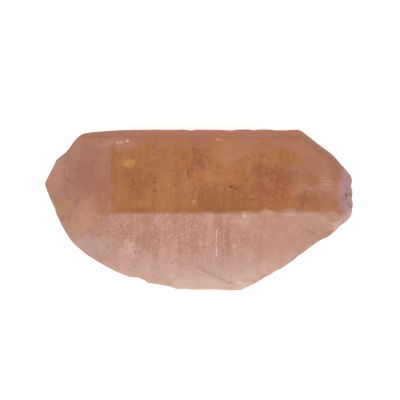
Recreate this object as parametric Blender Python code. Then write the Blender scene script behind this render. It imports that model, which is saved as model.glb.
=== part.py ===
# Citrine crystal point: one natural quartz crystal, lying on a face of its six-sided prism.
# The crystal axis runs along X. The pointed end is at -X and the broken end at +X, and the
# face that it rests on is at Z = 0. Metres, +Z up, origin under the middle of the crystal.

from math import cos, radians, sin, tan

import bmesh
import bpy
from mathutils import Matrix, Vector, noise

MM = 0.001

# ---- driving dimensions -------------------------------------------------------------
AXIS_MIDDLE = Vector((0.24, -0.27, 12.0)) * MM      # point on the crystal axis, distances start here
BLOCK_SIZE = 70.0 * MM                              # rough block that the faces are cut into

# Prism faces: angle about the axis from straight up (+ toward +Y), distance from the axis.
PRISM_FACES = {
    "top": (0.0, 12.00 * MM),
    "front_upper": (-60.0, 11.82 * MM),
    "front_lower": (-120.0, 13.24 * MM),
    "bottom": (180.0, 12.00 * MM),
    "back_lower": (120.0, 13.21 * MM),
    "back_upper": (60.0, 12.13 * MM),
}

# A rhombohedral face of quartz leans this many degrees from its prism face toward the axis.
RHOMB_LEAN = 38.2

# Point faces: prism face, end (-1 the point, +1 the broken end), where it leaves the prism.
POINT_FACES = (
    ("top", -1, -14.24 * MM),
    ("back_lower", -1, -12.70 * MM),
    ("back_upper", -1, -18.77 * MM),
    ("bottom", -1, -16.26 * MM),
    ("top", 1, 22.41 * MM),
    ("back_upper", 1, 16.72 * MM),
)

# Uneven, worn and broken faces: lean toward +X, angle about the axis, distance.
UNEVEN_FACES = (
    (-60.5, -128.3, 19.98 * MM),            # front of the very tip
    (-49.8, -123.1, 18.15 * MM),            # front of the point
    (-33.9, -121.6, 15.44 * MM),            # front of the point, nearer the prism
    (-27.1, -119.4, 14.81 * MM),            # heel under the point
    (-48.9, 120.6, 19.74 * MM),             # back of the very tip
    (32.1, -122.2, 14.61 * MM),             # slope under the front, middle
    (36.8, -121.1, 15.31 * MM),             # slope under the front, toward the broken end
    (48.4, -82.9, 22.50 * MM),              # front corner of the broken end
    (83.2, 180.0, 23.43 * MM),              # broken end
    (-4.2, -91.3, 13.42 * MM),              # strip below the front face
    (-0.6, 60.8, 12.26 * MM),               # back face is slightly proud of flat: left
    (0.2, 60.2, 12.15 * MM),                # and right
)

# Worn flat along each edge: its width, and the shortest edge that has one.
WEAR_WIDTH = 0.34 * MM
SHORTEST_WORN_EDGE = 1.0 * MM

# Shell-shaped breaks: middle on the surface, the way the hollow opens (lean, angle),
# length along X-most, width across, depth. All places are from AXIS_MIDDLE.
BREAKS = {
    "tip_step": ((-21.55, 7.10, 6.30), (-42, 46), (5.6, 9.0), 0.50),
    "tip_nick": ((-23.65, -0.95, 4.60), (-58, -84), (1.7, 1.1), 0.12),
    "end_notch": ((24.45, -3.30, 10.30), (68, 0), (2.4, 1.7), 0.42),
    "end_hollow": ((23.90, 3.30, -0.60), (80, 150), (11.0, 9.0), 0.70),
    "end_hollow_low": ((22.80, -1.00, -6.00), (76, 190), (9.0, 8.0), 0.60),
    "ridge_chip": ((7.60, -6.60, 11.95), (0, -24), (2.3, 1.0), 0.20),
    "ridge_chip_long": ((10.70, -6.55, 11.95), (4, -20), (2.7, 1.3), 0.24),
    "ridge_nick": ((5.30, -7.25, 11.05), (0, -58), (0.9, 0.6), 0.10),
    "slope_hollow": ((17.20, -10.30, 5.80), (33, -110), (9.4, 4.6), 0.42),
    "slope_bite": ((17.70, -10.20, 6.10), (30, -106), (2.8, 1.5), 0.56),
    "slope_bite_right": ((20.90, -8.90, 7.90), (38, -98), (2.6, 1.3), 0.30),
    "heel_notch": ((-10.10, -12.00, -2.60), (-8, -112), (3.8, 9.6), 0.84),
    "heel_hollow": ((-6.40, -12.30, -5.40), (-16, -112), (9.8, 11.6), 1.10),
    "strip_shell": ((-0.70, -13.15, 0.40), (-4, -84), (14.6, 7.0), 0.42),
    "strip_end_chip": ((8.20, -13.90, -0.40), (22, -96), (2.0, 1.6), 0.24),
    "back_chip": ((-4.50, 14.45, -0.90), (0, 92), (4.2, 2.4), 0.34),
    "back_chip_right": ((12.80, 14.40, -0.60), (6, 94), (2.8, 1.8), 0.26),
    "foot_chip": ((3.50, 9.60, -11.70), (4, 152), (5.0, 2.2), 0.40),
    "foot_chip_front": ((-3.50, -8.30, -11.70), (-10, -150), (3.4, 1.8), 0.32),
    "point_foot_chip": ((-13.90, 2.60, -11.60), (-24, 172), (3.0, 2.0), 0.28),
}
BREAK_RIM = 0.66                            # how far down its ball a break's rim lies, of its radius
BREAK_DETAIL = 3                            # icosphere subdivisions of a break's ball
BREAK_UNEVEN = 0.030                        # unevenness of a break's ball, of its radius
BREAK_LUMPS = 1.7                           # lumps across a break's ball

# Growth ledges: thin layers that end partway along a face. Prism face, the end of the face
# that is lower (-1 or +1), where the layer ends, thickness of the layer.
LEDGES = (
    ("front_upper", -1, -13.95 * MM, 0.10 * MM),
    ("front_lower", 1, 2.60 * MM, 0.14 * MM),
    ("back_lower", -1, -4.80 * MM, 0.16 * MM),
    ("back_lower", 1, 14.20 * MM, 0.12 * MM),
    ("back_upper", 1, 12.40 * MM, 0.10 * MM),
)


def face_normal(lean, angle):
    """Outward normal of a face that leans toward +X and stands at an angle about the axis."""
    lean, angle = radians(lean), radians(angle)
    return Vector((sin(lean), cos(lean) * sin(angle), cos(lean) * cos(angle)))


def cut_face(crystal, point, normal):
    """Cut the closed mesh flat at a plane and cap it, keeping the side behind the normal."""
    geometry = crystal.verts[:] + crystal.edges[:] + crystal.faces[:]
    result = bmesh.ops.bisect_plane(
        crystal, geom=geometry, dist=0.0001 * MM,
        plane_co=point, plane_no=normal, clear_outer=True)
    rim = [item for item in result["geom_cut"] if isinstance(item, bmesh.types.BMEdge)]
    if rim:
        bmesh.ops.contextual_create(crystal, geom=rim)


def on_prism_face(prism_face):
    """The point of a prism face that is nearest to AXIS_MIDDLE."""
    angle, distance = PRISM_FACES[prism_face]
    return AXIS_MIDDLE + face_normal(0.0, angle) * distance


def cut_habit(crystal):
    """Cut the prism, the point faces and the uneven faces into the block."""
    for prism_face, (angle, _) in PRISM_FACES.items():
        cut_face(crystal, on_prism_face(prism_face), face_normal(0.0, angle))
    for prism_face, end, shoulder in POINT_FACES:
        angle = PRISM_FACES[prism_face][0]
        corner = on_prism_face(prism_face) + Vector((shoulder, 0.0, 0.0))
        cut_face(crystal, corner, face_normal(end * RHOMB_LEAN, angle))
    for lean, angle, distance in UNEVEN_FACES:
        normal = face_normal(lean, angle)
        cut_face(crystal, AXIS_MIDDLE + normal * distance, normal)


def wear_edges(crystal):
    """Cut a narrow flat along every long edge, square to the line between its two faces."""
    crystal.normal_update()
    flats = []
    for edge in crystal.edges:
        if edge.calc_length() < SHORTEST_WORN_EDGE:
            continue
        first, second = edge.link_faces
        depth = WEAR_WIDTH / 2 * tan(first.normal.angle(second.normal) / 2)
        normal = (first.normal + second.normal).normalized()
        flats.append((edge.verts[0].co - normal * depth, normal))
    for point, normal in flats:
        cut_face(crystal, point, normal)


def new_object(name, mesh, collection):
    obj = bpy.data.objects.new(name, mesh)
    collection.objects.link(obj)
    return obj


def make_cutter(name, mesh_data, collection, place):
    """Turn a bmesh into a hidden wire object that only cuts."""
    mesh = bpy.data.meshes.new(name)
    mesh_data.to_mesh(mesh)
    mesh_data.free()
    cutter = new_object(name, mesh, collection)
    cutter.matrix_world = place
    cutter.hide_render = True
    cutter.display_type = "WIRE"


def make_break(name, collection):
    """An uneven ball that dips into the surface by the break's depth, over its footprint."""
    middle, (lean, angle), (length, width), depth = BREAKS[name]
    outward = face_normal(lean, angle)
    along = (Vector((1.0, 0.0, 0.0)) - outward * outward.x).normalized()
    turn = Matrix((along, outward.cross(along), outward)).transposed().to_4x4()
    rim_radius = (1.0 - BREAK_RIM ** 2) ** 0.5
    height = depth * MM / (1.0 - BREAK_RIM)
    size = Matrix.Diagonal((length / 2 * MM / rim_radius, width / 2 * MM / rim_radius, height, 1.0))
    centre = AXIS_MIDDLE + Vector(middle) * MM + outward * (height - depth * MM)
    ball = bmesh.new()
    bmesh.ops.create_icosphere(ball, subdivisions=BREAK_DETAIL, radius=1.0)
    seed = Vector(middle)
    for vertex in ball.verts:
        vertex.co *= 1.0 + BREAK_UNEVEN * noise.noise(vertex.co * BREAK_LUMPS + seed)
    make_cutter(name, ball, collection, Matrix.Translation(centre) @ turn @ size)


def make_ledge(number, collection):
    """A slab that takes the outermost layer off one end of a prism face."""
    prism_face, end, edge, thickness = LEDGES[number]
    outward = face_normal(0.0, PRISM_FACES[prism_face][0])
    along = Vector((1.0, 0.0, 0.0))
    turn = Matrix((along, outward.cross(along), outward)).transposed().to_4x4()
    reach = BLOCK_SIZE / 2
    middle = on_prism_face(prism_face) - outward * thickness
    middle += along * (edge + end * reach) + outward * reach
    slab = bmesh.new()
    bmesh.ops.create_cube(slab, size=BLOCK_SIZE)
    make_cutter(f"{prism_face}_ledge_{number}", slab, collection, Matrix.Translation(middle) @ turn)


def citrine_material():
    material = bpy.data.materials.new("citrine")
    material.use_nodes = True
    shader = material.node_tree.nodes["Principled BSDF"]
    shader.inputs["Base Color"].default_value = (0.47, 0.19, 0.085, 1.0)
    shader.inputs["Roughness"].default_value = 0.32
    shader.inputs["Metallic"].default_value = 0.0
    shader.inputs["IOR"].default_value = 1.544
    shader.inputs["Transmission Weight"].default_value = 0.55
    return material


def make_crystal(collection, cutters):
    """The crystal: cut to its faces, worn along its edges, then broken and stepped."""
    cut = bmesh.new()
    bmesh.ops.create_cube(cut, size=BLOCK_SIZE, matrix=Matrix.Translation(AXIS_MIDDLE))
    cut_habit(cut)
    wear_edges(cut)
    mesh = bpy.data.meshes.new("crystal")
    cut.to_mesh(mesh)
    cut.free()
    mesh.materials.append(citrine_material())
    crystal = new_object("crystal", mesh, collection)
    for number in range(len(LEDGES)):
        make_ledge(number, cutters)
    for name in BREAKS:
        make_break(name, cutters)
    for cutter in cutters.objects:
        boolean = crystal.modifiers.new(cutter.name, "BOOLEAN")
        boolean.operation = "DIFFERENCE"
        boolean.solver = "EXACT"
        boolean.object = cutter


def main():
    for obj in list(bpy.data.objects):
        bpy.data.objects.remove(obj)
    collections = []
    for name in ("Citrine crystal point", "Cutters"):
        collection = bpy.data.collections.new(name)
        bpy.context.scene.collection.children.link(collection)
        collections.append(collection)
    make_crystal(*collections)


main()
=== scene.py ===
import math

import bpy
import numpy as np
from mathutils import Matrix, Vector


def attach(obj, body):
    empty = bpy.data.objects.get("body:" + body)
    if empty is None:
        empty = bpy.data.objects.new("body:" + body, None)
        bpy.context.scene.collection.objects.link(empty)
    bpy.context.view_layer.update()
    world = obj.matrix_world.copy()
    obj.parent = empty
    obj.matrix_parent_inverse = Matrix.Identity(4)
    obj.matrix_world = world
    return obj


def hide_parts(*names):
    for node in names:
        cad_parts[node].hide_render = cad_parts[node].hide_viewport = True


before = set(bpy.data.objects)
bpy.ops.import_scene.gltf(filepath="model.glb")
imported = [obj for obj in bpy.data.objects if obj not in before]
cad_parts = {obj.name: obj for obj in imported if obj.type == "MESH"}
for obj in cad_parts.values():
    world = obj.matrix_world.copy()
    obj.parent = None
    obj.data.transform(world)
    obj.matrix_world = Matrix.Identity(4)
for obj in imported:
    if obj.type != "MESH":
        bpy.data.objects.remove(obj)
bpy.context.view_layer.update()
mm = 0.001

# Lengths here are in millimetres, places are counted from axisMiddle, angles are in degrees.
crystalForm = {
    "axisMiddle": (0.24, -0.27, 12.0),   # a point on the crystal axis, above the resting face
    "capStart": (-12.0, 12.0),           # along X, where the net's two caps begin
    "capRows": (84, 78),
    "bodyRows": 112,
    "sideColumns": 56,                   # columns on each of the six prism sides
    "edgeCrowding": 0.35,                # 0 for even columns, toward 1 for crowding at edges
    "smallestFlat": 0.5,                 # square millimetres, flats below this aren't read
    "wideFlat": 9.0,                     # square millimetres, flats below this count as edges
    "sameWay": 0.99999,                  # dot product from which two normals count as one
    "sameDistance": 0.01,
    "slack": 0.004,                      # how far a corner may stand in front of a flat
    "smallestTriangle": 1e-6,
    "edgeSoftness": 0.060,
    "endSoftness": 0.070,                # added toward the point and the broken end
    "endReach": (15.0, 22.0),            # how far from the middle that begins and is complete
    "breakSoftness": 0.035,
    "rayLength": 32.0,
    "halvings": 22,                      # how often a ray is halved to find the surface
}

# Prism sides in turn about the axis: angle from straight up (+ toward +Y), distance.
prismSides = ((0, 12.00), (60, 12.13), (120, 13.21), (180, 12.00), (240, 13.24), (300, 11.82))

# Shell-shaped breaks: middle, way it opens (lean toward +X, angle about the axis),
# length and width of its footprint, depth.
breaks = {
    "tipStep": ((-21.55, 7.10, 6.30), (-42, 46), (5.6, 9.0), 0.74),
    "tipNick": ((-23.70, -1.35, 4.30), (-58, -84), (2.5, 1.9), 0.34),
    "endNotch": ((24.45, -3.30, 10.30), (68, 0), (2.4, 1.7), 0.42),
    "endHollow": ((23.90, 3.30, -0.60), (80, 150), (11.0, 9.0), 0.70),
    "endHollowLow": ((22.80, -1.00, -6.00), (76, 190), (9.0, 8.0), 0.60),
    "ridgeChip": ((7.60, -6.60, 11.95), (0, -24), (2.3, 1.0), 0.20),
    "ridgeChipLong": ((10.70, -6.55, 11.95), (4, -20), (2.7, 1.3), 0.24),
    "ridgeNick": ((5.30, -7.25, 11.05), (0, -58), (0.9, 0.6), 0.10),
    "slopeHollow": ((17.20, -10.30, 5.80), (33, -110), (9.4, 4.6), 0.42),
    "slopeBite": ((17.70, -10.20, 6.10), (30, -106), (2.8, 1.5), 0.56),
    "slopeBiteRight": ((20.70, -9.05, 7.70), (38, -98), (2.2, 1.1), 0.16),
    "heelNotch": ((-10.10, -12.00, -2.60), (-8, -112), (3.8, 9.6), 0.84),
    "heelHollow": ((-6.40, -12.30, -5.40), (-16, -112), (9.8, 11.6), 1.10),
    "stripShell": ((-0.70, -13.15, 0.40), (-4, -84), (14.6, 7.0), 0.42),
    "stripEndChip": ((8.20, -13.90, -0.40), (22, -96), (2.0, 1.6), 0.24),
    "backChip": ((-4.50, 14.45, -0.90), (0, 92), (4.2, 2.4), 0.34),
    "backChipRight": ((12.80, 14.40, -0.60), (6, 94), (2.8, 1.8), 0.26),
    "footChip": ((3.50, 9.60, -11.70), (4, 152), (5.0, 2.2), 0.40),
    "footChipFront": ((-3.50, -8.30, -11.70), (-10, -150), (3.4, 1.8), 0.32),
    "pointFootChip": ((-13.90, 2.60, -11.60), (-24, 172), (3.0, 2.0), 0.28),
}
breakForm = {
    "rimHeight": 0.66,                   # how far down its ball a break's rim lies
    "lumps": 0.070,                      # unevenness of the ball, of its radius
    "lumpSize": 0.6,                     # of its radius
    "rippleHeight": 0.009,               # shell ripples, of its radius
    "ripples": 7.0,                      # ripples from middle to rim
    "rippleMiddle": (0.35, -0.2),        # of its radius
    "reach": 1.6,                        # of its radius, how far out these go
}

# Growth ledges: angle of the prism side, end that lies lower, where it starts, thickness.
ledges = (
    (-60, -1, -13.95, 0.10),
    (-120, 1, 2.60, 0.14),
    (120, -1, -4.80, 0.16),
    (120, 1, 14.20, 0.12),
    (60, 1, 12.40, 0.10),
)

colourBlend = {
    "softness": 0.09,
    "wander": (1.1, 0.16),               # cell size, how far a colour strays over an edge
    "wornReach": (0.20, (1.4, 0.10)),    # the same two for the wear along edges
}

surfaceRelief = {
    "swell": (6.5, 0.030),               # cell size, height of the slow swell of every face
    "striation": (0.9, 0.011),           # width, height of growth lines across the prism
    "fineStriation": (0.42, 0.006),
    "lowerStriation": 0.9,               # how much more of it the sides have than the top
    "lowerFacing": (0.9, 0.4),           # upward share of the normal, from none of it to all
    "prismFacing": (0.06, 0.02),         # the same, of the lengthways share
    "lineStretch": (1.0, 0.07, 0.07),    # draws the growth lines out round the axis
    "pitting": (0.55, 0.014),            # cell size, depth on frosted faces
    "breakGrain": (0.8, 0.025),          # cell size, height on broken faces
    "wornEdges": (1.7, 0.15),            # cell size, depth of the nicks along edges
    "nickOnset": (0.0, 0.7),             # noise at which a nick begins, and is full
    "footRim": (-11.6, -10.8),           # heights between which wear sets in
    "ledgeWander": (1.4, 0.35),          # cell size, how far a ledge strays along X
    "ledgeStretch": (0.2, 1.0, 1.0),
    "ledgeWidth": 0.08,                  # half the width of a ledge's own step
    "sideMatch": (0.985, 0.998),         # dot product with a side's normal, from none to all
    "fracture": {                        # the broken end
        "origin": (23.0, 2.6, 9.5),      # where the rings spread from
        "facing": (0.80, 0.95),          # lengthways share of the normal, from none to all
        "spacing": 1.9,
        "height": 0.10,
        "stray": (4.5, 1.2),             # cell size, how far a ring strays
        "fade": 14.0,                    # distance over which the rings fade to a third
        "lumps": (3.2, 0.16),            # cell size, height
        "hackles": (1.1, 0.05),          # width, height of ribs along the rings' spokes
        "spokes": (8.0, 0.12),           # how fast they change round the origin, outward
    },
}


def addObject(name, data):
    # a new object in the scene
    made = bpy.data.objects.new(name, data)
    bpy.context.scene.collection.objects.link(made)
    return made


def faceNormal(lean, angle):
    # The way a face looks: sin(lean) along X, and cos(lean) square to it at the angle.
    lean = math.radians(lean)
    angle = math.radians(angle)
    return np.array((math.sin(lean), math.cos(lean) * math.sin(angle), math.cos(lean) * math.cos(angle)))


def smoothStep(low, high, value):
    # 0 below low, 1 above high, and 3t^2 - 2t^3 between them
    t = np.clip((value - low) / (high - low), 0.0, 1.0)
    return t * t * (3.0 - 2.0 * t)


def latticeNoise(points, cell, seed):
    # Random values on a cubic lattice, blended between its corners with smooth weights.
    # Runs from -1 to 1, and repeats every 32 cells. What is added to points only shifts it.
    side = 32
    table = np.random.default_rng(seed).uniform(-1.0, 1.0, (side, side, side))
    scaled = points / cell
    corner = np.floor(scaled).astype(int)
    part = scaled - corner
    blend = part * part * (3.0 - 2.0 * part)
    value = np.zeros(len(points))
    for x in (0, 1):
        for y in (0, 1):
            for z in (0, 1):
                step = np.array((x, y, z))
                weight = np.prod(np.where(step, blend, 1.0 - blend), axis=1)
                at = (corner + step) % side
                value += weight * table[at[:, 0], at[:, 1], at[:, 2]]
    return value


def readFlats(node):
    # Groups the solid's triangles by their plane, and keeps a plane when no corner of the
    # solid stands in front of it, so breaks and ledges are left out.
    mesh = node.data
    mesh.calc_loop_triangles()
    corners = np.empty(len(mesh.vertices) * 3)
    mesh.vertices.foreach_get("co", corners)
    corners = corners.reshape(-1, 3) / mm - crystalForm["axisMiddle"]
    triangles = np.empty(len(mesh.loop_triangles) * 3, dtype=int)
    mesh.loop_triangles.foreach_get("vertices", triangles)
    first, second, third = corners[triangles.reshape(-1, 3)].transpose(1, 0, 2)
    cross = np.cross(second - first, third - first)
    areas = np.linalg.norm(cross, axis=1) / 2
    usable = areas > crystalForm["smallestTriangle"]
    normals = cross[usable] / (2 * areas[usable, None])
    first, areas = first[usable], areas[usable]
    distances = (normals * first).sum(axis=1)
    flats = []
    read = np.zeros(len(areas), dtype=bool)
    for index in np.argsort(-areas):
        if read[index]:
            continue
        normal, distance = normals[index], distances[index]
        same = normals @ normal > crystalForm["sameWay"]
        same &= abs(distances - distance) < crystalForm["sameDistance"]
        area = areas[same].sum()
        inFront = (corners @ normal).max() > distance + crystalForm["slack"]
        if area >= crystalForm["smallestFlat"] and not inFront:
            flats.append((normal, distance, area))
            read |= same
    ways, depths, extents = zip(*flats)
    return np.array(ways), np.array(depths), np.array(extents)


def breakDepth(points, name):
    # Distance outside an uneven ball, (|q| - 1) times its height, where q is the point in
    # the ball's own frame divided by its half sizes. Ripples run round the ball's middle.
    middle, (lean, angle), (length, width), depth = breaks[name]
    outward = faceNormal(lean, angle)
    along = np.array((1.0, 0.0, 0.0)) - outward * outward[0]
    along /= np.linalg.norm(along)
    turn = np.column_stack((along, np.cross(outward, along), outward))
    rimHeight = breakForm["rimHeight"]
    rimRadius = math.sqrt(1.0 - rimHeight ** 2)
    height = depth / (1.0 - rimHeight)
    size = np.array((length / 2 / rimRadius, width / 2 / rimRadius, height))
    centre = np.array(middle) + outward * (height - depth)
    local = ((points - centre) @ turn) / size
    reach = np.linalg.norm(local, axis=1)
    near = reach < breakForm["reach"]
    lumps = np.zeros(len(points))
    seed = 200 + list(breaks).index(name)
    lumps[near] = latticeNoise(local[near] + 7.3, breakForm["lumpSize"], seed)
    across = np.linalg.norm(local[:, :2] - breakForm["rippleMiddle"], axis=1)
    ripple = np.cos(2 * math.pi * across * breakForm["ripples"])
    uneven = breakForm["lumps"] * lumps + breakForm["rippleHeight"] * ripple * near
    return (reach - 1.0 - uneven) * height


def crystalField(points, flats):
    # How deep a point lies inside: a soft least of its depths behind every flat,
    # -s log(sum(exp(-depth / s))), then a soft least of that and of every break.
    normals, distances, _ = flats
    ends = smoothStep(*crystalForm["endReach"], abs(points[:, 0]))
    softness = crystalForm["edgeSoftness"] + crystalForm["endSoftness"] * ends
    depths = distances - points @ normals.T
    least = depths.min(axis=1)
    shares = np.exp((least - depths.T).T / softness[:, None])
    total = shares.sum(axis=1)
    body = least - softness * np.log(total)
    softness = crystalForm["breakSoftness"]
    hollows = np.column_stack([body] + [breakDepth(points, name) for name in breaks])
    least = hollows.min(axis=1)
    parts = np.exp((least[:, None] - hollows) / softness)
    field = least - softness * np.log(parts.sum(axis=1))
    return field, shares / total[:, None], parts / parts.sum(axis=1, keepdims=True)


def netAngles():
    # The angle of every column about the axis. Each prism side has the same number, even
    # along the side apart from some crowding toward its edges, so that columns lie on them.
    corners = []
    for index, (angle, distance) in enumerate(prismSides):
        nextAngle, nextDistance = prismSides[(index + 1) % len(prismSides)]
        lines = np.array([faceNormal(0, angle)[1:], faceNormal(0, nextAngle)[1:]])
        corners.append(np.linalg.solve(lines, (distance, nextDistance)))
    corners = np.array(corners)
    t = np.arange(crystalForm["sideColumns"]) / crystalForm["sideColumns"]
    t = t - crystalForm["edgeCrowding"] * np.sin(2 * math.pi * t) / (2 * math.pi)
    before = np.roll(corners, 1, axis=0)[:, None]
    around = (before + t[None, :, None] * (corners[:, None] - before)).reshape(-1, 2)
    return np.arctan2(around[:, 0], around[:, 1])


def netRays():
    # One ray for each crossing of the net. Over the body the rays stand square to the axis;
    # over each cap they fan out from one point, from square to along the axis.
    angles = netAngles()
    low, high = crystalForm["capStart"]
    lowRows, highRows = crystalForm["capRows"]
    bodyRows = crystalForm["bodyRows"]
    lowTilt = np.linspace(-math.pi / 2, 0, lowRows, endpoint=False)
    highTilt = np.linspace(0, math.pi / 2, highRows + 1)[1:]
    tilts = np.concatenate((lowTilt, np.zeros(bodyRows), highTilt))
    bodyStarts = np.linspace(low, high, bodyRows)
    starts = np.concatenate((np.full(lowRows, low), bodyStarts, np.full(highRows, high)))
    tilts, starts = tilts[1:-1], starts[1:-1]
    x = np.repeat(np.sin(tilts)[:, None], len(angles), axis=1)
    y = np.cos(tilts)[:, None] * np.sin(angles)
    z = np.cos(tilts)[:, None] * np.cos(angles)
    directions = np.stack((x, y, z), axis=2).reshape(-1, 3)
    origins = np.zeros_like(directions)
    origins[:, 0] = np.repeat(starts, len(angles))
    poles = np.array(((-1.0, 0, 0), (1.0, 0, 0)))
    poleStarts = np.array(((low, 0, 0), (high, 0, 0)))
    return (np.concatenate((origins, poleStarts)), np.concatenate((directions, poles)),
            len(tilts), len(angles))


def netFaces(rows, columns):
    # Quads between rows, closed round the axis, and a fan of triangles at each pole.
    row = np.arange(rows - 1)[:, None] * columns
    column = np.arange(columns)[None, :]
    after = (column + 1) % columns
    quads = np.stack((row + column, row + after, row + columns + after, row + columns + column), axis=2)
    quads = quads.reshape(-1, 4)[:, ::-1]
    column = column.ravel()
    after = after.ravel()
    lowPole = np.full(columns, rows * columns)
    highPole = lowPole + 1
    last = (rows - 1) * columns
    lowFan = np.stack((lowPole, after, column), axis=1)[:, ::-1]
    highFan = np.stack((highPole, last + column, last + after), axis=1)[:, ::-1]
    return quads, np.concatenate((lowFan, highFan))


def solveSurface(origins, directions, flats):
    # Halves the stretch of each ray that holds the surface until it is found.
    near = np.zeros(len(origins))
    far = np.full(len(origins), crystalForm["rayLength"])
    for _ in range(crystalForm["halvings"]):
        middle = (near + far) / 2
        field = crystalField(origins + directions * middle[:, None], flats)[0]
        near = np.where(field > 0, middle, near)
        far = np.where(field > 0, far, middle)
    points = origins + directions * ((near + far) / 2)[:, None]
    _, shares, parts = crystalField(points, flats)
    return points, shares, parts


def sideShare(normals, angle):
    # 1 where the surface faces the way of a prism side, 0 where it doesn't
    return smoothStep(*surfaceRelief["sideMatch"], normals @ faceNormal(0, angle))


def fractureHeight(points, normals):
    # Rings round the origin, height * cos(2 pi r / spacing) with r strayed by noise, fading
    # outward, plus lumps and ribs; all only where the surface faces the broken end.
    form = surfaceRelief["fracture"]
    facing = smoothStep(*form["facing"], normals[:, 0])
    away = points - form["origin"]
    radius = np.linalg.norm(away[:, 1:], axis=1)
    cell, reach = form["stray"]
    strayed = radius + reach * latticeNoise(points + 60, cell, 11)
    rings = form["height"] * np.cos(2 * math.pi * strayed / form["spacing"])
    rings *= np.exp(-radius / form["fade"])
    cell, height = form["lumps"]
    lumps = height * latticeNoise(points + 80, cell, 12)
    width, height = form["hackles"]
    often, outward = form["spokes"]
    turn = np.arctan2(away[:, 1], away[:, 2])
    spokes = np.column_stack((turn * often / width, radius * outward, np.zeros(len(radius))))
    ribs = height * latticeNoise(spokes + 33, 1.0, 13)
    return facing * (rings + lumps + ribs)


def addRelief(points, normals, frost, shell, worn):
    # Moves each point along its normal by the sum of the reliefs for the face it is on.
    form = surfaceRelief
    cell, height = form["swell"]
    move = height * latticeNoise(points + 50, cell, 1) * (1 - shell)
    prism = smoothStep(*form["prismFacing"], abs(normals[:, 0])) * (1 - shell)
    prism *= 1 + form["lowerStriation"] * smoothStep(*form["lowerFacing"], normals[:, 2])
    for key, seed in (("striation", 2), ("fineStriation", 3)):
        cell, height = form[key]
        stretched = points * form["lineStretch"]
        move += prism * height * latticeNoise(stretched + 90, cell, seed)
    cell, depth = form["pitting"]
    pits = np.clip(latticeNoise(points + 20, cell, 4), 0, 1)
    move -= depth * pits * frost
    cell, depth = form["wornEdges"]
    nicks = smoothStep(*form["nickOnset"], latticeNoise(points + 110, cell, 7))
    move -= depth * worn * nicks * smoothStep(*form["footRim"], points[:, 2])
    cell, height = form["breakGrain"]
    move += height * shell * latticeNoise(points + 70, cell, 5)
    move += fractureHeight(points, normals)
    cell, reach = form["ledgeWander"]
    stray = reach * latticeNoise(points * form["ledgeStretch"] + 30, cell, 6)
    width = form["ledgeWidth"]
    for angle, end, start, thickness in ledges:
        lower = smoothStep(-width, width, (points[:, 0] + stray - start) * end)
        move -= thickness * lower * sideShare(normals, angle) * (1 - shell)
    return points + normals * move[:, None]


def blendShares(points, flats, softness, wander):
    # Which flats a point belongs to, softer than the shape's own edges and a little ragged:
    # shares of exp(-(depth + noise) / softness). Flats that look the same way share a noise.
    normals, distances, _ = flats
    depths = distances - points @ normals.T
    cell, reach = wander
    groups = np.round(normals @ (3.1, 5.7, 7.3)).astype(int)
    for group in np.unique(groups):
        strayed = reach * latticeNoise(points + 40, cell, 100 + group % 50)
        depths[:, groups == group] += strayed[:, None]
    least = depths.min(axis=1)
    shares = np.exp((least[:, None] - depths) / softness)
    return shares / shares.sum(axis=1, keepdims=True)


# Which faces get which look. A pair is where it begins and is full, as the normal's share
# along the axis in its name, unless a note says otherwise.
faceForm = {
    "frontY": (-0.2, -0.5),
    "frostZ": (-0.25, 0.15),
    "frostBelow": 0.4,                   # how frosted the faces under the front are
    "pointWay": (-38.2, 0),              # lean and angle of the point's upper face
    "pointMatch": (0.9, 0.97),           # dot product with that
    "backY": (0.3, 0.7),
    "upperZ": (0.1, 0.3),
    "mattFrost": 0.77,                   # how matt the frosted faces are
    "notEndX": (0.9, 0.7),
    "rimX": (0.3, 0.5),
    "mattShellX": (20.0, 16.0),          # place along X, breaks beyond it stay glossy
}


def frostShare(normals):
    # 1 on the frosted upper front, less on the faces under it, 0 elsewhere
    below = faceForm["frostBelow"]
    upper = smoothStep(*faceForm["frostZ"], normals[:, 2])
    return smoothStep(*faceForm["frontY"], normals[:, 1]) * (below + (1 - below) * upper)


def faceKinds(flats, points, shell, edge):
    # The painting masks of every point: each flat's own masks, mixed by how much of the
    # point belongs to it. They are kept as two attributes of four parts each.
    form = faceForm
    normals = flats[0]
    frost = frostShare(normals)
    point = smoothStep(*form["pointMatch"], normals @ faceNormal(*form["pointWay"]))
    back = smoothStep(*form["backY"], normals[:, 1])
    upperBack = back * smoothStep(*form["upperZ"], normals[:, 2])
    matt = np.maximum(form["mattFrost"] * frost, upperBack)
    matt = matt * smoothStep(*form["notEndX"], normals[:, 0])
    # rim: the back faces of the broken end, which the material darkens as a painted shade
    rim = smoothStep(*form["rimX"], normals[:, 0]) * back
    shares = blendShares(points, flats, colourBlend["softness"], colourBlend["wander"])
    frost, point, matt, back, rim = (shares @ np.column_stack((frost, point, matt, back, rim))).T
    matt = np.maximum(matt, shell * smoothStep(*form["mattShellX"], points[:, 0]))
    return {"faceKind": np.column_stack((frost, shell, edge, point)),
            "faceMattBackShade": np.column_stack((matt, back, rim, rim))}


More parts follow.
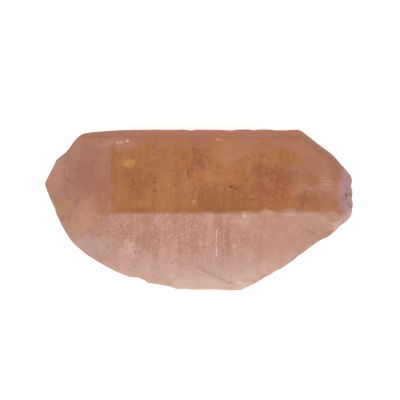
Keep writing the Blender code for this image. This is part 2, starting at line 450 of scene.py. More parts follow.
def makeCrystal():
    # The whole surface: each ray of the net is cut off where the soft field of flats and
    # breaks is 0, then every point is moved along its normal by the relief.
    flats = readFlats(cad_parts["crystal"])
    print("flats read from the solid:", len(flats[1]))
    origins, directions, rows, columns = netRays()
    points, shares, parts = solveSurface(origins, directions, flats)
    normals = shares @ flats[0]
    normals /= np.linalg.norm(normals, axis=1, keepdims=True)
    shell = 1 - parts[:, 0]
    wide = flats[2] > crystalForm["wideFlat"]
    edge = 1 - shares[:, wide].sum(axis=1)
    frost = frostShare(normals)
    kinds = faceKinds(flats, points, shell, edge)
    onOneFlat = (blendShares(points, flats, *colourBlend["wornReach"]) ** 2).sum(axis=1)
    points = addRelief(points, normals, frost, shell, 1 - onOneFlat)
    quads, fans = netFaces(rows, columns)
    mesh = bpy.data.meshes.new("crystalSurface")
    vertices = (points + crystalForm["axisMiddle"]) * mm
    mesh.vertices.add(len(vertices))
    mesh.vertices.foreach_set("co", vertices.ravel())
    mesh.loops.add(quads.size + fans.size)
    mesh.loops.foreach_set("vertex_index", np.concatenate((quads.ravel(), fans.ravel())))
    starts = np.concatenate((np.arange(len(quads)) * 4, quads.size + np.arange(len(fans)) * 3))
    mesh.polygons.add(len(starts))
    mesh.polygons.foreach_set("loop_start", starts)
    mesh.update(calc_edges=True)
    mesh.validate()
    mesh.shade_smooth()
    for name, values in kinds.items():
        layer = mesh.attributes.new(name, "FLOAT_COLOR", "POINT")
        layer.data.foreach_set("color", values.ravel())
    crystal = addObject("crystalSurface", mesh)
    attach(crystal, "root")
    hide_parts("crystal")
    print("crystal surface:", len(mesh.vertices), "points")
    return crystal


def seen(red, green, blue):
    # A colour as a screen shows it, 0 to 255, as the linear colour that a shader takes.
    parts = np.array((red, green, blue)) / 255
    linear = np.where(parts < 0.04045, parts / 12.92, ((parts + 0.055) / 1.055) ** 2.4)
    return (*linear.tolist(), 1.0)


def addNode(tree, kind, inputs=None, **settings):
    # Adds a node; an input is a plain value or another node's output socket.
    node = tree.nodes.new(kind)
    for name, value in settings.items():
        setattr(node, name, value)
    for name, value in (inputs or {}).items():
        if isinstance(value, bpy.types.NodeSocket):
            tree.links.new(value, node.inputs[name])
        else:
            node.inputs[name].default_value = value
    return node


def combine(tree, operation, first, second, clamp=False):
    # one step of arithmetic on two numbers
    node = addNode(tree, "ShaderNodeMath", {0: first, 1: second}, operation=operation, use_clamp=clamp)
    return node.outputs["Value"]


def vectorStep(tree, operation, first, second):
    # the same on two vectors
    node = addNode(tree, "ShaderNodeVectorMath", {0: first, 1: second}, operation=operation)
    return node.outputs["Value" if operation in ("LENGTH", "DOT_PRODUCT", "DISTANCE") else "Vector"]


def rampUp(tree, value, low, high):
    # 0 at low, 1 at high, eased at both ends
    node = addNode(tree, "ShaderNodeMapRange", {"Value": value, "From Min": low, "From Max": high},
                   interpolation_type="SMOOTHSTEP")
    return node.outputs["Result"]


def layColour(tree, under, over, mask):
    # The mask's share of one colour over another. A mix node's socket 0 is the share, 6 and
    # 7 are its two colours, and output 2 is the result.
    node = addNode(tree, "ShaderNodeMix", data_type="RGBA")
    for socket, value in ((node.inputs[0], mask), (node.inputs[6], under), (node.inputs[7], over)):
        if isinstance(value, bpy.types.NodeSocket):
            tree.links.new(value, socket)
        else:
            socket.default_value = value
    return node.outputs[2]


def newGroup(name, inputs):
    # A shader node group with these inputs and their defaults, that puts out one mask.
    tree = bpy.data.node_groups.new(name, "ShaderNodeTree")
    for socketName, default in inputs.items():
        kind = "NodeSocketVector" if isinstance(default, tuple) else "NodeSocketFloat"
        socket = tree.interface.new_socket(socketName, in_out="INPUT", socket_type=kind)
        socket.default_value = default
    tree.interface.new_socket("Mask", in_out="OUTPUT", socket_type="NodeSocketFloat")
    given = tree.nodes.new("NodeGroupInput").outputs
    return tree, given, tree.nodes.new("NodeGroupOutput").inputs["Mask"]


maskForm = {
    "edge": (1.15, 0.35),                # of a patch's or streak's size, where it begins, is full
    "push": 3.0,                         # how far the noise's narrow range is spread
    "speckEdge": (1.0, 0.3),             # of a speck's radius
    "speckStray": (1.6, 1.4),            # noise cells to a spacing, spacings a speck may stray
}


def raggedPush(tree, given):
    # how far an edge is pushed: (noise of the given grain - 0.5) * push * Ragged
    noise = addNode(tree, "ShaderNodeTexNoise", {
        "Vector": given["Vector"], "Scale": given["Grain"], "Detail": 2.0, "Roughness": 0.55})
    push = combine(tree, "SUBTRACT", noise.outputs["Fac"], 0.5)
    push = combine(tree, "MULTIPLY", push, maskForm["push"])
    return combine(tree, "MULTIPLY", push, given["Ragged"])


def softPatchGroup():
    # A soft ragged patch: the length of (place - Centre) / Size, pushed about by noise,
    # as 1 inside the ellipsoid and 0 outside.
    tree, given, result = newGroup("softPatch", {
        "Vector": (0, 0, 0), "Centre": (0, 0, 0), "Size": (1, 1, 1), "Ragged": 0.4, "Grain": 1.0})
    away = vectorStep(tree, "SUBTRACT", given["Vector"], given["Centre"])
    reach = vectorStep(tree, "LENGTH", vectorStep(tree, "DIVIDE", away, given["Size"]), (0, 0, 0))
    reach = combine(tree, "ADD", reach, raggedPush(tree, given))
    tree.links.new(rampUp(tree, reach, *maskForm["edge"]), result)
    return tree


def softStreakGroup():
    # A soft ragged streak: the distance to the line from Start to End, divided by Width and
    # pushed about by noise, as 1 on the line and 0 away from it.
    tree, given, result = newGroup("softStreak", {
        "Vector": (0, 0, 0), "Start": (0, 0, 0), "End": (1, 0, 0),
        "Width": 0.3, "Ragged": 0.4, "Grain": 1.0})
    away = vectorStep(tree, "SUBTRACT", given["Vector"], given["Start"])
    line = vectorStep(tree, "SUBTRACT", given["End"], given["Start"])
    along = combine(tree, "DIVIDE", vectorStep(tree, "DOT_PRODUCT", away, line),
                    vectorStep(tree, "DOT_PRODUCT", line, line), True)
    nearest = addNode(tree, "ShaderNodeVectorMath", {0: line, "Scale": along}, operation="SCALE")
    reach = vectorStep(tree, "DISTANCE", away, nearest.outputs["Vector"])
    reach = combine(tree, "DIVIDE", reach, given["Width"])
    reach = combine(tree, "ADD", reach, raggedPush(tree, given))
    tree.links.new(rampUp(tree, reach, *maskForm["edge"]), result)
    return tree


def growthBandGroup():
    # Bands across the crystal axis: noise at place / (Width, Length, Length), ramped up from
    # Low to High.
    tree, given, result = newGroup("growthBand", {
        "Vector": (0, 0, 0), "Width": 1.0, "Length": 12.0, "Low": 0.45, "High": 0.62})
    size = addNode(tree, "ShaderNodeCombineXYZ", {
        "X": given["Width"], "Y": given["Length"], "Z": given["Length"]})
    stretched = vectorStep(tree, "DIVIDE", given["Vector"], size.outputs["Vector"])
    noise = addNode(tree, "ShaderNodeTexNoise", {
        "Vector": stretched, "Scale": 1.0, "Detail": 2.0, "Roughness": 0.6})
    tree.links.new(rampUp(tree, noise.outputs["Fac"], given["Low"], given["High"]), result)
    return tree


def speckGroup():
    # Small scattered specks: uneven cells of Spacing, of which Share hold a speck. A speck's
    # mask is 1 at its cell's middle and 0 from Radius * (0.5 to 1.5) on.
    tree, given, result = newGroup("speck", {
        "Vector": (0, 0, 0), "Spacing": 1.0, "Radius": 0.3, "Share": 0.5})
    often, reach = maskForm["speckStray"]
    scale = combine(tree, "DIVIDE", 1.0, given["Spacing"])
    noise = addNode(tree, "ShaderNodeTexNoise", {
        "Vector": given["Vector"], "Scale": combine(tree, "MULTIPLY", scale, often), "Detail": 1.0})
    push = vectorStep(tree, "SUBTRACT", noise.outputs["Color"], (0.5, 0.5, 0.5))
    push = addNode(tree, "ShaderNodeVectorMath", {
        0: push, "Scale": combine(tree, "MULTIPLY", given["Spacing"], reach)}, operation="SCALE")
    strayed = vectorStep(tree, "ADD", given["Vector"], push.outputs["Vector"])
    cells = addNode(tree, "ShaderNodeTexVoronoi", {"Vector": strayed, "Scale": scale})
    chance = addNode(tree, "ShaderNodeSeparateColor", {"Color": cells.outputs["Color"]}).outputs
    there = combine(tree, "LESS_THAN", chance["Red"], given["Share"])
    radius = combine(tree, "MULTIPLY", given["Radius"], combine(tree, "ADD", chance["Green"], 0.5))
    away = combine(tree, "DIVIDE", cells.outputs["Distance"], radius)
    spot = rampUp(tree, away, *maskForm["speckEdge"])
    tree.links.new(combine(tree, "MULTIPLY", spot, there), result)
    return tree


def mottleGroup():
    # Clouds: noise of one Cell size and some Detail, ramped up from Low to High.
    tree, given, result = newGroup("mottle", {
        "Vector": (0, 0, 0), "Cell": 1.0, "Detail": 3.0, "Low": 0.4, "High": 0.6})
    scale = combine(tree, "DIVIDE", 1.0, given["Cell"])
    noise = addNode(tree, "ShaderNodeTexNoise", {
        "Vector": given["Vector"], "Scale": scale, "Detail": given["Detail"], "Roughness": 0.6})
    tree.links.new(rampUp(tree, noise.outputs["Fac"], given["Low"], given["High"]), result)
    return tree


citrineLook = {
    "amber": seen(177, 113, 52),
    "orangeAmber": seen(169, 101, 42),
    "tan": seen(184, 132, 80),
    "back": seen(198, 112, 60),
    "pointRose": seen(187, 136, 113),
    "pointPeach": seen(220, 166, 136),
    "frosted": seen(188, 141, 124),
    "frostedTan": seen(166, 118, 96),
    "frostedPink": seen(208, 165, 161),
    "frostedPeach": seen(253, 210, 207),
    "pale": seen(229, 192, 181),
    "pit": seen(158, 106, 86),
    "milk": seen(214, 154, 106),
    "lower": seen(204, 128, 62),
    "mauve": seen(172, 126, 120),
    "shellPeach": seen(222, 176, 158),
    "rust": seen(146, 82, 50),
    "clearRoughness": 0.10,
    "topRoughness": 0.32,
    "roughRoughness": 0.86,
    "lift": (1.09, 1.31, 1.28),
    "transmission": 0.72,
    "specular": 0.4,
    "ior": 1.544,
    "absorption": seen(225, 160, 100),
    "absorptionDensity": 34.0,
    "shellTint": 0.35,
    # painted shade: colour and share of the darkening on the back faces of the broken end
    "rim": seen(150, 92, 70),
    "rimShadeTint": 0.6,
    "bandStrength": (0.3, 0.6),          # everywhere, and on top of that in the front's middle
    "speckStrength": (0.20, 0.36),       # the same for the frosting's speckle
    "dustEdge": (0.5, 0.5),              # raggedness and grain of a dust cloud
    "fineBump": (0.5, 0.02),             # strength, depth
    "swellBump": (0.4, 0.05),
}

frontMiddle = {"Centre": (-3.5, -10.0, 5.5), "Size": (17.0, 9.0, 14.0), "Ragged": 0.3, "Grain": 0.2}
frostGrain = {"Cell": 0.36, "Detail": 1.0, "Low": 0.48, "High": 0.70}
frostPits = {"Cell": 0.44, "Detail": 1.0, "Low": 0.46, "High": 0.28}
surfaceSwell = {"Cell": 1.6, "Low": 0.2, "High": 0.8}

# Where a look sets in: axis, the place where it begins, the place where it is full.
ramps = {
    "high": ("Z", 6.0, 11.0),
    "towardFront": ("Y", 1.0, -7.0),
    "lowDown": ("Z", 4.0, -4.0),
    "underTop": ("Z", 11.0, 4.0),
    "pointFront": ("Y", 3.0, -8.0),
    "frontLow": ("Z", 8.0, -2.0),
    "frontHigh": ("Z", -1.0, 5.0),
    "aboveFoot": ("Z", -9.0, 3.0),
}

# Layers of the three base colours, first to last: colour, mask group or None, its settings,
# strength, and the further mask that limits it or None.
baseLayers = {
    "clear": (
        ("tan", "band", {"Width": 2.4, "Length": 9.0, "Low": 0.45, "High": 0.66}, 0.8, None),
        ("orangeAmber", None, {}, 0.55, "towardFront"),
        ("back", None, {}, 0.85, "back"),
        ("tan", "band", {"Width": 0.55, "Length": 6.0, "Low": 0.50, "High": 0.68}, 0.6, None),
        ("lower", None, {}, 1.0, "lowDown"),
        ("rust", "mottle", {"Cell": 1.0, "Low": 0.48, "High": 0.70}, 0.45, "onTop"),
        ("tan", "mottle", {"Cell": 0.9, "Detail": 2.0, "Low": 0.54, "High": 0.74}, 0.4, None),
        ("milk", "mottle", {"Cell": 5.0, "Low": 0.46, "High": 0.72}, 0.6, "underTop"),
        ("rust", "band", {"Width": 0.48, "Length": 4.0, "Low": 0.56, "High": 0.74}, 0.7, "onTop"),
    ),
    "point": (
        ("pointPeach", None, {}, 1.0, "pointFront"),
        ("mauve", "mottle", {"Cell": 2.4, "Low": 0.45, "High": 0.7}, 0.3, None),
        ("pointPeach", "band", {"Width": 0.5, "Length": 3.0, "Low": 0.48, "High": 0.7}, 0.2, None),
        ("pale", "mottle", {"Cell": 0.5, "Detail": 1.0, "Low": 0.52, "High": 0.72}, 0.25, None),
        ("rust", "mottle", {"Cell": 0.9, "Low": 0.46, "High": 0.72}, 0.35, None),
    ),
    "frosted": (
        ("frostedTan", "band", {"Width": 1.5, "Length": 14.0, "Low": 0.46, "High": 0.60}, 0.9, "banded"),
        ("frostedPink", "band", {"Width": 0.9, "Length": 8.0, "Low": 0.52, "High": 0.66}, 0.8, "banded"),
        ("frostedPink", "mottle", {"Cell": 2.4, "Low": 0.45, "High": 0.7}, 0.45, None),
        ("frostedPeach", None, {}, 0.75, "frontLow"),
        ("pale", "mottle", {"Cell": 1.5, "Detail": 2.0, "Low": 0.46, "High": 0.68}, 0.42, "aside"),
        ("frostedTan", "mottle", {"Cell": 1.1, "Detail": 2.0, "Low": 0.48, "High": 0.68}, 0.5, "aside"),
    ),
}

# Cloudy patches: middle, half sizes, raggedness, grain, colour, strength.
patches = {
    "tanWindow": ((5.6, 4.6, 12.0), (4.6, 3.2, 2.0), 0.5, 0.3, seen(190, 136, 98), 0.85),
    "ochreLeft": ((-5.0, 1.4, 12.0), (2.8, 5.6, 2.0), 1.0, 0.5, seen(182, 122, 74), 0.5),
    "redHaze": ((9.7, -0.2, 12.0), (1.5, 5.2, 2.5), 1.1, 0.7, seen(150, 76, 44), 0.6),
    "redHazeRight": ((13.0, -2.6, 12.0), (3.8, 4.2, 2.5), 1.0, 0.5, seen(164, 82, 48), 0.55),
    "mauveStreak": ((-0.1, 3.0, 12.0), (1.2, 5.0, 1.5), 1.1, 0.9, seen(146, 84, 64), 0.55),
    "pinkTop": ((14.0, 6.2, 12.0), (7.5, 1.8, 1.5), 0.9, 0.4, seen(186, 126, 110), 0.6),
    "pinkRight": ((19.4, 2.2, 12.0), (5.4, 6.0, 1.8), 0.7, 0.45, seen(194, 140, 122), 0.5),
    "milkyCorner": ((-12.6, 6.0, 12.0), (3.4, 1.4, 1.5), 0.8, 0.6, seen(206, 160, 146), 0.85),
    # painted highlights: the two yellow glows and the pale dot, light caught by cracks inside the crystal
    "yellowGlow": ((-11.45, 2.36, 12.0), (1.35, 0.95, 1.5), 0.8, 0.8, seen(224, 162, 90), 0.8),
    "yellowGlowLow": ((-9.29, -4.7, 12.0), (1.5, 0.9, 1.5), 0.7, 0.9, seen(198, 138, 78), 0.65),
    "paleDot": ((-0.70, -4.42, 12.0), (0.38, 0.36, 1.0), 0.6, 1.8, seen(224, 166, 116), 0.8),
    "pointGlow": ((-22.3, -2.2, 5.6), (1.6, 1.8, 2.2), 0.7, 0.5, seen(216, 160, 104), 0.6),
    "tipPale": ((-23.2, 3.6, 5.0), (2.1, 4.6, 3.2), 0.4, 0.5, seen(214, 166, 150), 0.65),
    "pointAmber": ((-15.2, -3.2, 11.0), (1.9, 4.2, 2.2), 0.6, 0.4, seen(176, 112, 68), 0.65),
    "pointShade": ((-17.8, 1.0, 9.2), (2.6, 5.6, 3.0), 0.9, 0.35, seen(168, 112, 84), 0.5),
    "ridgeBump": ((10.9, -6.35, 11.8), (1.2, 0.6, 0.7), 1.0, 1.2, seen(212, 156, 136), 0.6),
    "ridgeCloud": ((7.3, -7.5, 11.1), (1.5, 1.2, 1.4), 1.1, 1.0, seen(222, 184, 174), 0.6),
    "ridgePinkRight": ((17.4, -7.0, 11.2), (5.0, 1.6, 1.6), 0.8, 0.6, seen(208, 166, 160), 0.55),
    # partly the low strip's own pale colour, partly a painted highlight
    "stripPale": ((1.0, -13.2, -1.4), (8.6, 1.8, 3.0), 0.8, 0.4, seen(255, 222, 212), 0.85),
    "rightPale": ((20.4, -2.2, 12.0), (2.4, 4.6, 1.6), 0.7, 0.6, seen(204, 150, 126), 0.45),
    "ochreRight": ((19.2, -4.3, 12.0), (2.6, 1.9, 1.4), 0.8, 0.5, seen(180, 112, 62), 0.55),
    "plumSpot": ((16.5, -3.9, 12.0), (1.5, 1.4, 1.2), 0.9, 1.0, seen(134, 74, 58), 0.6),
    "frontMauve": ((-18.0, -9.8, 6.4), (4.6, 3.0, 3.6), 1.0, 0.5, seen(212, 170, 168), 0.7),
    "frontPaleCloud": ((-11.1, -10.2, 6.1), (1.9, 1.3, 2.2), 1.2, 0.9, seen(228, 188, 184), 0.7),
    "frontTanRight": ((13.0, -9.2, 7.6), (5.0, 3.6, 5.0), 0.9, 0.5, seen(198, 152, 130), 0.6),
    "endMauve": ((24.0, -2.4, 10.6), (2.2, 6.6, 3.0), 0.6, 0.5, seen(196, 162, 178), 0.85),
    # painted shade: darkening in the notch of the broken end
    "endNotchShade": ((24.2, -3.1, 10.6), (1.0, 1.6, 1.4), 0.8, 1.1, seen(100, 78, 72), 0.8),
    # painted highlight: pale pink light along the lower edge of the broken end
    "endPinkHighlight": ((22.4, -7.6, 9.9), (1.3, 1.5, 1.3), 1.2, 1.2, seen(236, 194, 190), 0.7),
}

# Streaks and glints, the glints painted highlights: start, end, half width, raggedness, grain, colour,
# strength.
streaks = {
    "brownRidge": ((-13.2, -6.0, 12.0), (4.0, -6.1, 12.0), 0.65, 0.9, 0.5, seen(164, 98, 52), 0.4),
    "pointEdge": ((-13.6, -6.2, 12.0), (-13.6, 5.6, 12.0), 0.7, 0.8, 0.5, seen(172, 100, 60), 0.35),
    "topFade": ((-12.0, 7.0, 12.0), (18.0, 7.0, 12.0), 2.6, 0.8, 0.4, seen(186, 122, 94), 0.6),
    "frontTanBand": ((-0.75, -7.0, 12.0), (-0.75, -10.6, 5.6), 0.75, 1.1, 0.8, seen(176, 122, 96), 0.5),
    "frontPinkBand": ((1.75, -7.0, 12.0), (1.85, -12.6, 2.0), 1.0, 0.8, 0.7, seen(214, 172, 166), 0.55),
    "frontTanLeft": ((-8.0, -7.0, 12.0), (-8.2, -10.0, 6.0), 0.8, 0.8, 0.7, seen(180, 126, 102), 0.55),
    "frontPinkLeft": ((-5.9, -9.4, 8.0), (-5.9, -12.4, 2.4), 0.6, 0.8, 0.7, seen(218, 176, 168), 0.55),
    "crackPale": ((-0.2, -12.3, 2.3), (5.0, -13.9, -0.8), 0.22, 1.6, 1.8, seen(240, 200, 184), 0.45),
    "frontCrack": ((-0.1, -11.9, 3.0), (5.8, -13.8, -0.6), 0.30, 1.6, 1.8, seen(182, 122, 90), 0.5),
    # painted shade: a dark line along the back edge, where the top outline shows dark edge-on
    "backRimShade": ((-17.0, 14.5, -0.8), (16.0, 14.5, -0.8), 1.6, 0.5, 0.4, seen(140, 88, 66), 0.3),
    "glintCorner": ((-13.0, 5.95, 12.0), (-12.2, 6.05, 12.0), 0.22, 0.7, 1.5, seen(240, 214, 208), 0.6),
    "glintDot": ((-11.45, 6.2, 12.0), (-11.35, 6.25, 12.0), 0.20, 0.3, 1.5, seen(250, 230, 224), 0.85),
    "glintBack": ((2.9, 6.6, 12.0), (4.0, 6.5, 12.0), 0.20, 0.9, 1.8, seen(232, 190, 160), 0.7),
    "ridgeGlint": ((7.16, -6.70, 11.7), (7.36, -6.70, 11.7), 0.22, 0.8, 2.0, seen(255, 236, 226), 0.95),
    "paleLine": ((2.91, -8.2, 9.4), (2.93, -10.9, 4.8), 0.17, 0.9, 2.2, seen(246, 208, 200), 0.75),
    "paleLineRight": ((5.76, -9.7, 6.8), (5.77, -11.0, 4.6), 0.17, 0.9, 2.2, seen(246, 208, 200), 0.65),
    "dashUpper": ((19.9, -0.75, 12.0), (21.4, -0.85, 12.0), 0.13, 0.6, 1.8, seen(232, 186, 160), 0.7),
    "dashLower": ((20.1, -1.35, 12.0), (21.4, -1.40, 12.0), 0.13, 0.6, 1.8, seen(232, 186, 160), 0.6),
    "speckLeft": ((5.05, -1.66, 12.0), (5.30, -1.98, 12.0), 0.17, 0.6, 1.8, seen(78, 34, 24), 0.95),
    "speckRight": ((5.78, -1.95, 12.0), (5.90, -2.35, 12.0), 0.15, 0.6, 1.8, seen(78, 34, 24), 0.9),
    "scuffLine": ((6.80, -3.95, 12.0), (8.60, -4.02, 12.0), 0.14, 1.3, 1.8, seen(112, 74, 50), 0.6),
    "pointDash": ((-15.15, -2.41, 11.28), (-15.13, -3.81, 11.30), 0.11, 0.5, 2.0,
                  seen(220, 172, 142), 0.7),
    "markLeft": ((-1.67, 0.3, 12.0), (-1.67, 1.2, 12.0), 0.17, 0.5, 1.8, seen(116, 58, 40), 0.8),
    "markRight": ((-1.03, 0.3, 12.0), (-1.03, 1.2, 12.0), 0.15, 0.5, 1.8, seen(116, 58, 40), 0.7),
}

# Dust and specks: middle, half sizes, spacing, radius (of the spacing), share, colour, strength.
dust = {
    "dottedLine": ((-7.0, 1.4, 12.0), (0.55, 7.0, 1.5), 0.50, 0.64, 0.9, seen(118, 58, 34), 0.85),
    "mauveDust": ((-0.4, 4.0, 12.0), (1.7, 4.6, 1.5), 0.50, 0.60, 0.6, seen(118, 58, 42), 0.75),
    "leftDust": ((-10.4, -1.4, 12.0), (2.2, 3.4, 1.5), 0.45, 0.58, 0.5, seen(122, 62, 36), 0.7),
    "rightDust": ((11.6, -1.0, 12.0), (4.4, 6.0, 2.0), 0.55, 0.58, 0.5, seen(126, 60, 38), 0.6),
    "topDust": ((0.0, 0.5, 12.0), (21.0, 6.6, 2.0), 0.50, 0.54, 0.6, seen(134, 70, 46), 0.55),
    "palePoints": ((19.0, -1.0, 12.0), (3.4, 5.4, 2.0), 0.70, 0.52, 0.6, seen(220, 166, 144), 0.5),
    "paleTop": ((0.0, 0.0, 12.0), (20.0, 6.0, 2.0), 0.70, 0.46, 0.5, seen(200, 146, 104), 0.3),
}


def makeCitrine():
    # Colour is laid in layers: three base colours by face, then patches, dust, speckle and
    # streaks, of which some patches and streaks are painted highlights and shade, and last a
    # painted shade on the back faces of the broken end. The see-through part, IOR and absorption
    # are plain values.
    look = citrineLook
    material = bpy.data.materials.new("citrine")
    material.use_nodes = True
    tree = material.node_tree
    shader = tree.nodes["Principled BSDF"]
    output = tree.nodes["Material Output"]
    place = addNode(tree, "ShaderNodeTexCoord").outputs["Object"]
    toAxis = tuple(-value for value in crystalForm["axisMiddle"])
    place = addNode(tree, "ShaderNodeMapping", {
        "Vector": place, "Location": toAxis, "Scale": (1 / mm,) * 3}).outputs["Vector"]
    groups = {"patch": softPatchGroup(), "streak": softStreakGroup(), "band": growthBandGroup(),
              "speck": speckGroup(), "mottle": mottleGroup()}

    def mask(group, **values):
        node = addNode(tree, "ShaderNodeGroup", node_tree=groups[group])
        tree.links.new(place, node.inputs["Vector"])
        for name, value in values.items():
            node.inputs[name].default_value = value
        return node.outputs["Mask"]

    def times(first, second):
        return combine(tree, "MULTIPLY", first, second)

    def attribute(name):
        node = addNode(tree, "ShaderNodeAttribute", attribute_name=name)
        parts = addNode(tree, "ShaderNodeSeparateColor", {"Color": node.outputs["Color"]}).outputs
        return parts["Red"], parts["Green"], parts["Blue"], node.outputs["Alpha"]

    def ramp(name):
        axis, low, high = ramps[name]
        return rampUp(tree, apart[axis], low, high)

    def moreInMiddle(strengths):
        # everywhere + extra * middle
        everywhere, extra = strengths
        return combine(tree, "ADD", times(middle, extra), everywhere)

    def layBase(part, colour, limits):
        # each layer's share over the last is strength * limit * mask
        for name, group, settings, strength, limit in baseLayers[part]:
            amount = times(limits[limit], strength) if limit else strength
            if group:
                amount = times(mask(group, **settings), amount)
            colour = layColour(tree, colour, look[name], amount)
        return colour

    frost, shell, edge, point = attribute("faceKind")
    matt, back, rim, _ = attribute("faceMattBackShade")
    apart = addNode(tree, "ShaderNodeSeparateXYZ", {"Vector": place}).outputs
    onTop = times(ramp("high"), combine(tree, "SUBTRACT", 1.0, matt))
    clear = layBase("clear", look["amber"], {
        "towardFront": ramp("towardFront"), "back": back, "lowDown": ramp("lowDown"),
        "onTop": onTop, "underTop": ramp("underTop")})
    pointColour = layBase("point", look["pointRose"], {"pointFront": ramp("pointFront")})
    middle = mask("patch", **frontMiddle)
    frosted = layBase("frosted", look["frosted"], {
        "banded": moreInMiddle(look["bandStrength"]), "frontLow": ramp("frontLow"),
        "aside": combine(tree, "SUBTRACT", 1.0, middle)})
    grain = mask("mottle", **frostGrain)
    pits = mask("mottle", **frostPits)
    speckled = times(moreInMiddle(look["speckStrength"]), frost)
    colour = layColour(tree, clear, pointColour, point)
    colour = layColour(tree, colour, frosted, frost)
    for centre, size, ragged, grainSize, patchColour, strength in patches.values():
        patch = mask("patch", Centre=centre, Size=size, Ragged=ragged, Grain=grainSize)
        colour = layColour(tree, colour, patchColour, times(patch, strength))
    ragged, grainSize = look["dustEdge"]
    for centre, size, spacing, radius, share, dustColour, strength in dust.values():
        cloud = mask("patch", Centre=centre, Size=size, Ragged=ragged, Grain=grainSize)
        specks = mask("speck", Spacing=spacing, Radius=radius, Share=share)
        colour = layColour(tree, colour, dustColour, times(times(cloud, specks), strength))
    colour = layColour(tree, colour, look["shellPeach"], times(shell, look["shellTint"]))
    colour = layColour(tree, colour, look["pale"], times(grain, speckled))
    pitted = times(speckled, ramp("frontHigh"))
    colour = layColour(tree, colour, look["pit"], times(pits, pitted))
    for start, end, width, ragged, grainSize, streakColour, strength in streaks.values():
        streak = mask("streak", Start=start, End=end, Width=width, Ragged=ragged, Grain=grainSize)
        colour = layColour(tree, colour, streakColour, times(streak, strength))
    # painted shade: the back faces of the broken end darkened, above the foot
    rim = times(rim, ramp("aboveFoot"))
    colour = layColour(tree, colour, look["rim"], times(rim, look["rimShadeTint"]))
    colour = vectorStep(tree, "MULTIPLY", colour, look["lift"])
    tree.links.new(colour, shader.inputs["Base Color"])

    # clear sides, then the top, then what is frosted or worn: sockets 2 and 3 are the values
    rough = addNode(tree, "ShaderNodeMix", {0: onTop, 2: look["clearRoughness"], 3: look["topRoughness"]})
    rough = addNode(tree, "ShaderNodeMix", {
        0: combine(tree, "MAXIMUM", matt, edge), 2: rough.outputs[0], 3: look["roughRoughness"]})
    tree.links.new(rough.outputs[0], shader.inputs["Roughness"])
    strength, depth = look["fineBump"]
    fine = addNode(tree, "ShaderNodeBump", {
        "Height": times(combine(tree, "SUBTRACT", grain, pits), frost),
        "Strength": strength, "Distance": depth * mm})
    strength, depth = look["swellBump"]
    swell = addNode(tree, "ShaderNodeBump", {
        "Height": mask("mottle", **surfaceSwell), "Strength": strength, "Distance": depth * mm,
        "Normal": fine.outputs["Normal"]})
    tree.links.new(swell.outputs["Normal"], shader.inputs["Normal"])
    shader.inputs["IOR"].default_value = look["ior"]
    shader.inputs["Transmission Weight"].default_value = look["transmission"]
    shader.inputs["Specular IOR Level"].default_value = look["specular"]
    absorption = addNode(tree, "ShaderNodeVolumeAbsorption", {
        "Color": look["absorption"], "Density": look["absorptionDensity"]})
    tree.links.new(absorption.outputs["Volume"], output.inputs["Volume"])
    print("citrine material:", len(tree.nodes), "nodes")
    return material


floorForm = {
    "size": 0.8,                            # metres from the middle to an edge
    "colour": (0.92, 0.92, 0.92, 1.0),
    "roughness": 0.9,
    "glow": ((1.0, 1.0, 1.0, 1.0), 0.12),   # colour, strength, keeps it white under the soft light
}


def makeFloor():
    # a pale square about the origin, at Z = 0, that glows a little
    size = floorForm["size"]
    corners = [(x * size, y * size, 0) for x, y in ((-1, -1), (1, -1), (1, 1), (-1, 1))]
    mesh = bpy.data.meshes.new("floor")
    mesh.from_pydata(corners, [], [(0, 1, 2, 3)])
    floor = addObject("floor", mesh)
    material = bpy.data.materials.new("paleFloor")
    material.use_nodes = True
    shader = material.node_tree.nodes["Principled BSDF"]
    glow, strength = floorForm["glow"]
    shader.inputs["Base Color"].default_value = floorForm["colour"]
    shader.inputs["Roughness"].default_value = floorForm["roughness"]
    shader.inputs["Emission Color"].default_value = glow
    shader.inputs["Emission Strength"].default_value = strength
    mesh.materials.append(material)
    print("floor: made")


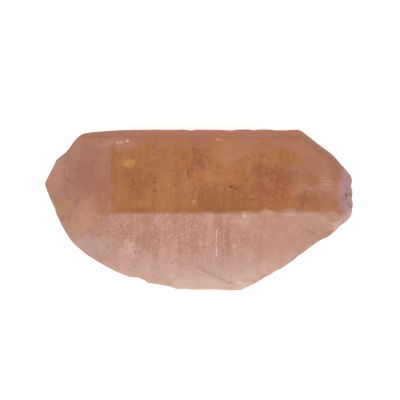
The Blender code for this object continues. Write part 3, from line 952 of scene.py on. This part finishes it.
lightForm = {
    "horizonAndTop": (0.30, 0.82),       # brightness of the sky at its two ends
    "skyRamp": (0.0, 0.8),               # height in the sky where it begins to rise, is full
    # name: place in metres, size, power in watts
    "softboxes": {
        "key": ((-0.12, -0.40, 0.50), 0.50, 3.6),
        "fill": ((0.35, -0.10, 0.45), 0.40, 1.0),
    },
}


def makeLights():
    # The sky brightens with height, and every softbox faces the origin.
    world = bpy.data.worlds.new("studio")
    bpy.context.scene.world = world
    world.use_nodes = True
    tree = world.node_tree
    background = tree.nodes["Background"]
    way = addNode(tree, "ShaderNodeTexCoord").outputs["Generated"]
    height = addNode(tree, "ShaderNodeSeparateXYZ", {"Vector": way}).outputs["Z"]
    low, high = lightForm["horizonAndTop"]
    rise = rampUp(tree, height, *lightForm["skyRamp"])
    sky = layColour(tree, (low, low, low, 1.0), (high, high, high, 1.0), rise)
    tree.links.new(sky, background.inputs["Color"])
    for name, (place, size, power) in lightForm["softboxes"].items():
        light = bpy.data.lights.new(name, "AREA")
        light.shape = "SQUARE"
        light.size = size
        light.energy = power
        lamp = addObject(name, light)
        lamp.location = place
        lamp.rotation_euler = (-Vector(place)).to_track_quat("-Z", "Y").to_euler()
    print("lights:", len(lightForm["softboxes"]), "and the sky")


cameraForm = {
    "target": (0.49, -1.37, 17.2),       # millimetres, in the frame
    "elevation": 66.0,
    "distance": 449.5,
    "lens": 250.0,
    "sensor": 36.0,
    "clip": (0.01, 10.0),                # metres
}


def makeCamera():
    # Stands at target + distance * (0, -cos, sin) of the elevation, and looks back at it.
    camera = bpy.data.cameras.new("camera")
    camera.lens = cameraForm["lens"]
    camera.sensor_width = cameraForm["sensor"]
    camera.clip_start, camera.clip_end = cameraForm["clip"]
    elevation = math.radians(cameraForm["elevation"])
    away = np.array((0.0, -math.cos(elevation), math.sin(elevation)))
    holder = addObject("camera", camera)
    holder.location = (np.array(cameraForm["target"]) + away * cameraForm["distance"]) * mm
    holder.rotation_euler = (math.pi / 2 - elevation, 0.0, 0.0)
    bpy.context.scene.camera = holder
    print("camera: elevation", cameraForm["elevation"])


crystal = makeCrystal()
crystal.data.materials.append(makeCitrine())
makeFloor()
makeLights()
makeCamera()
bpy.context.scene.view_settings.view_transform = "Standard"
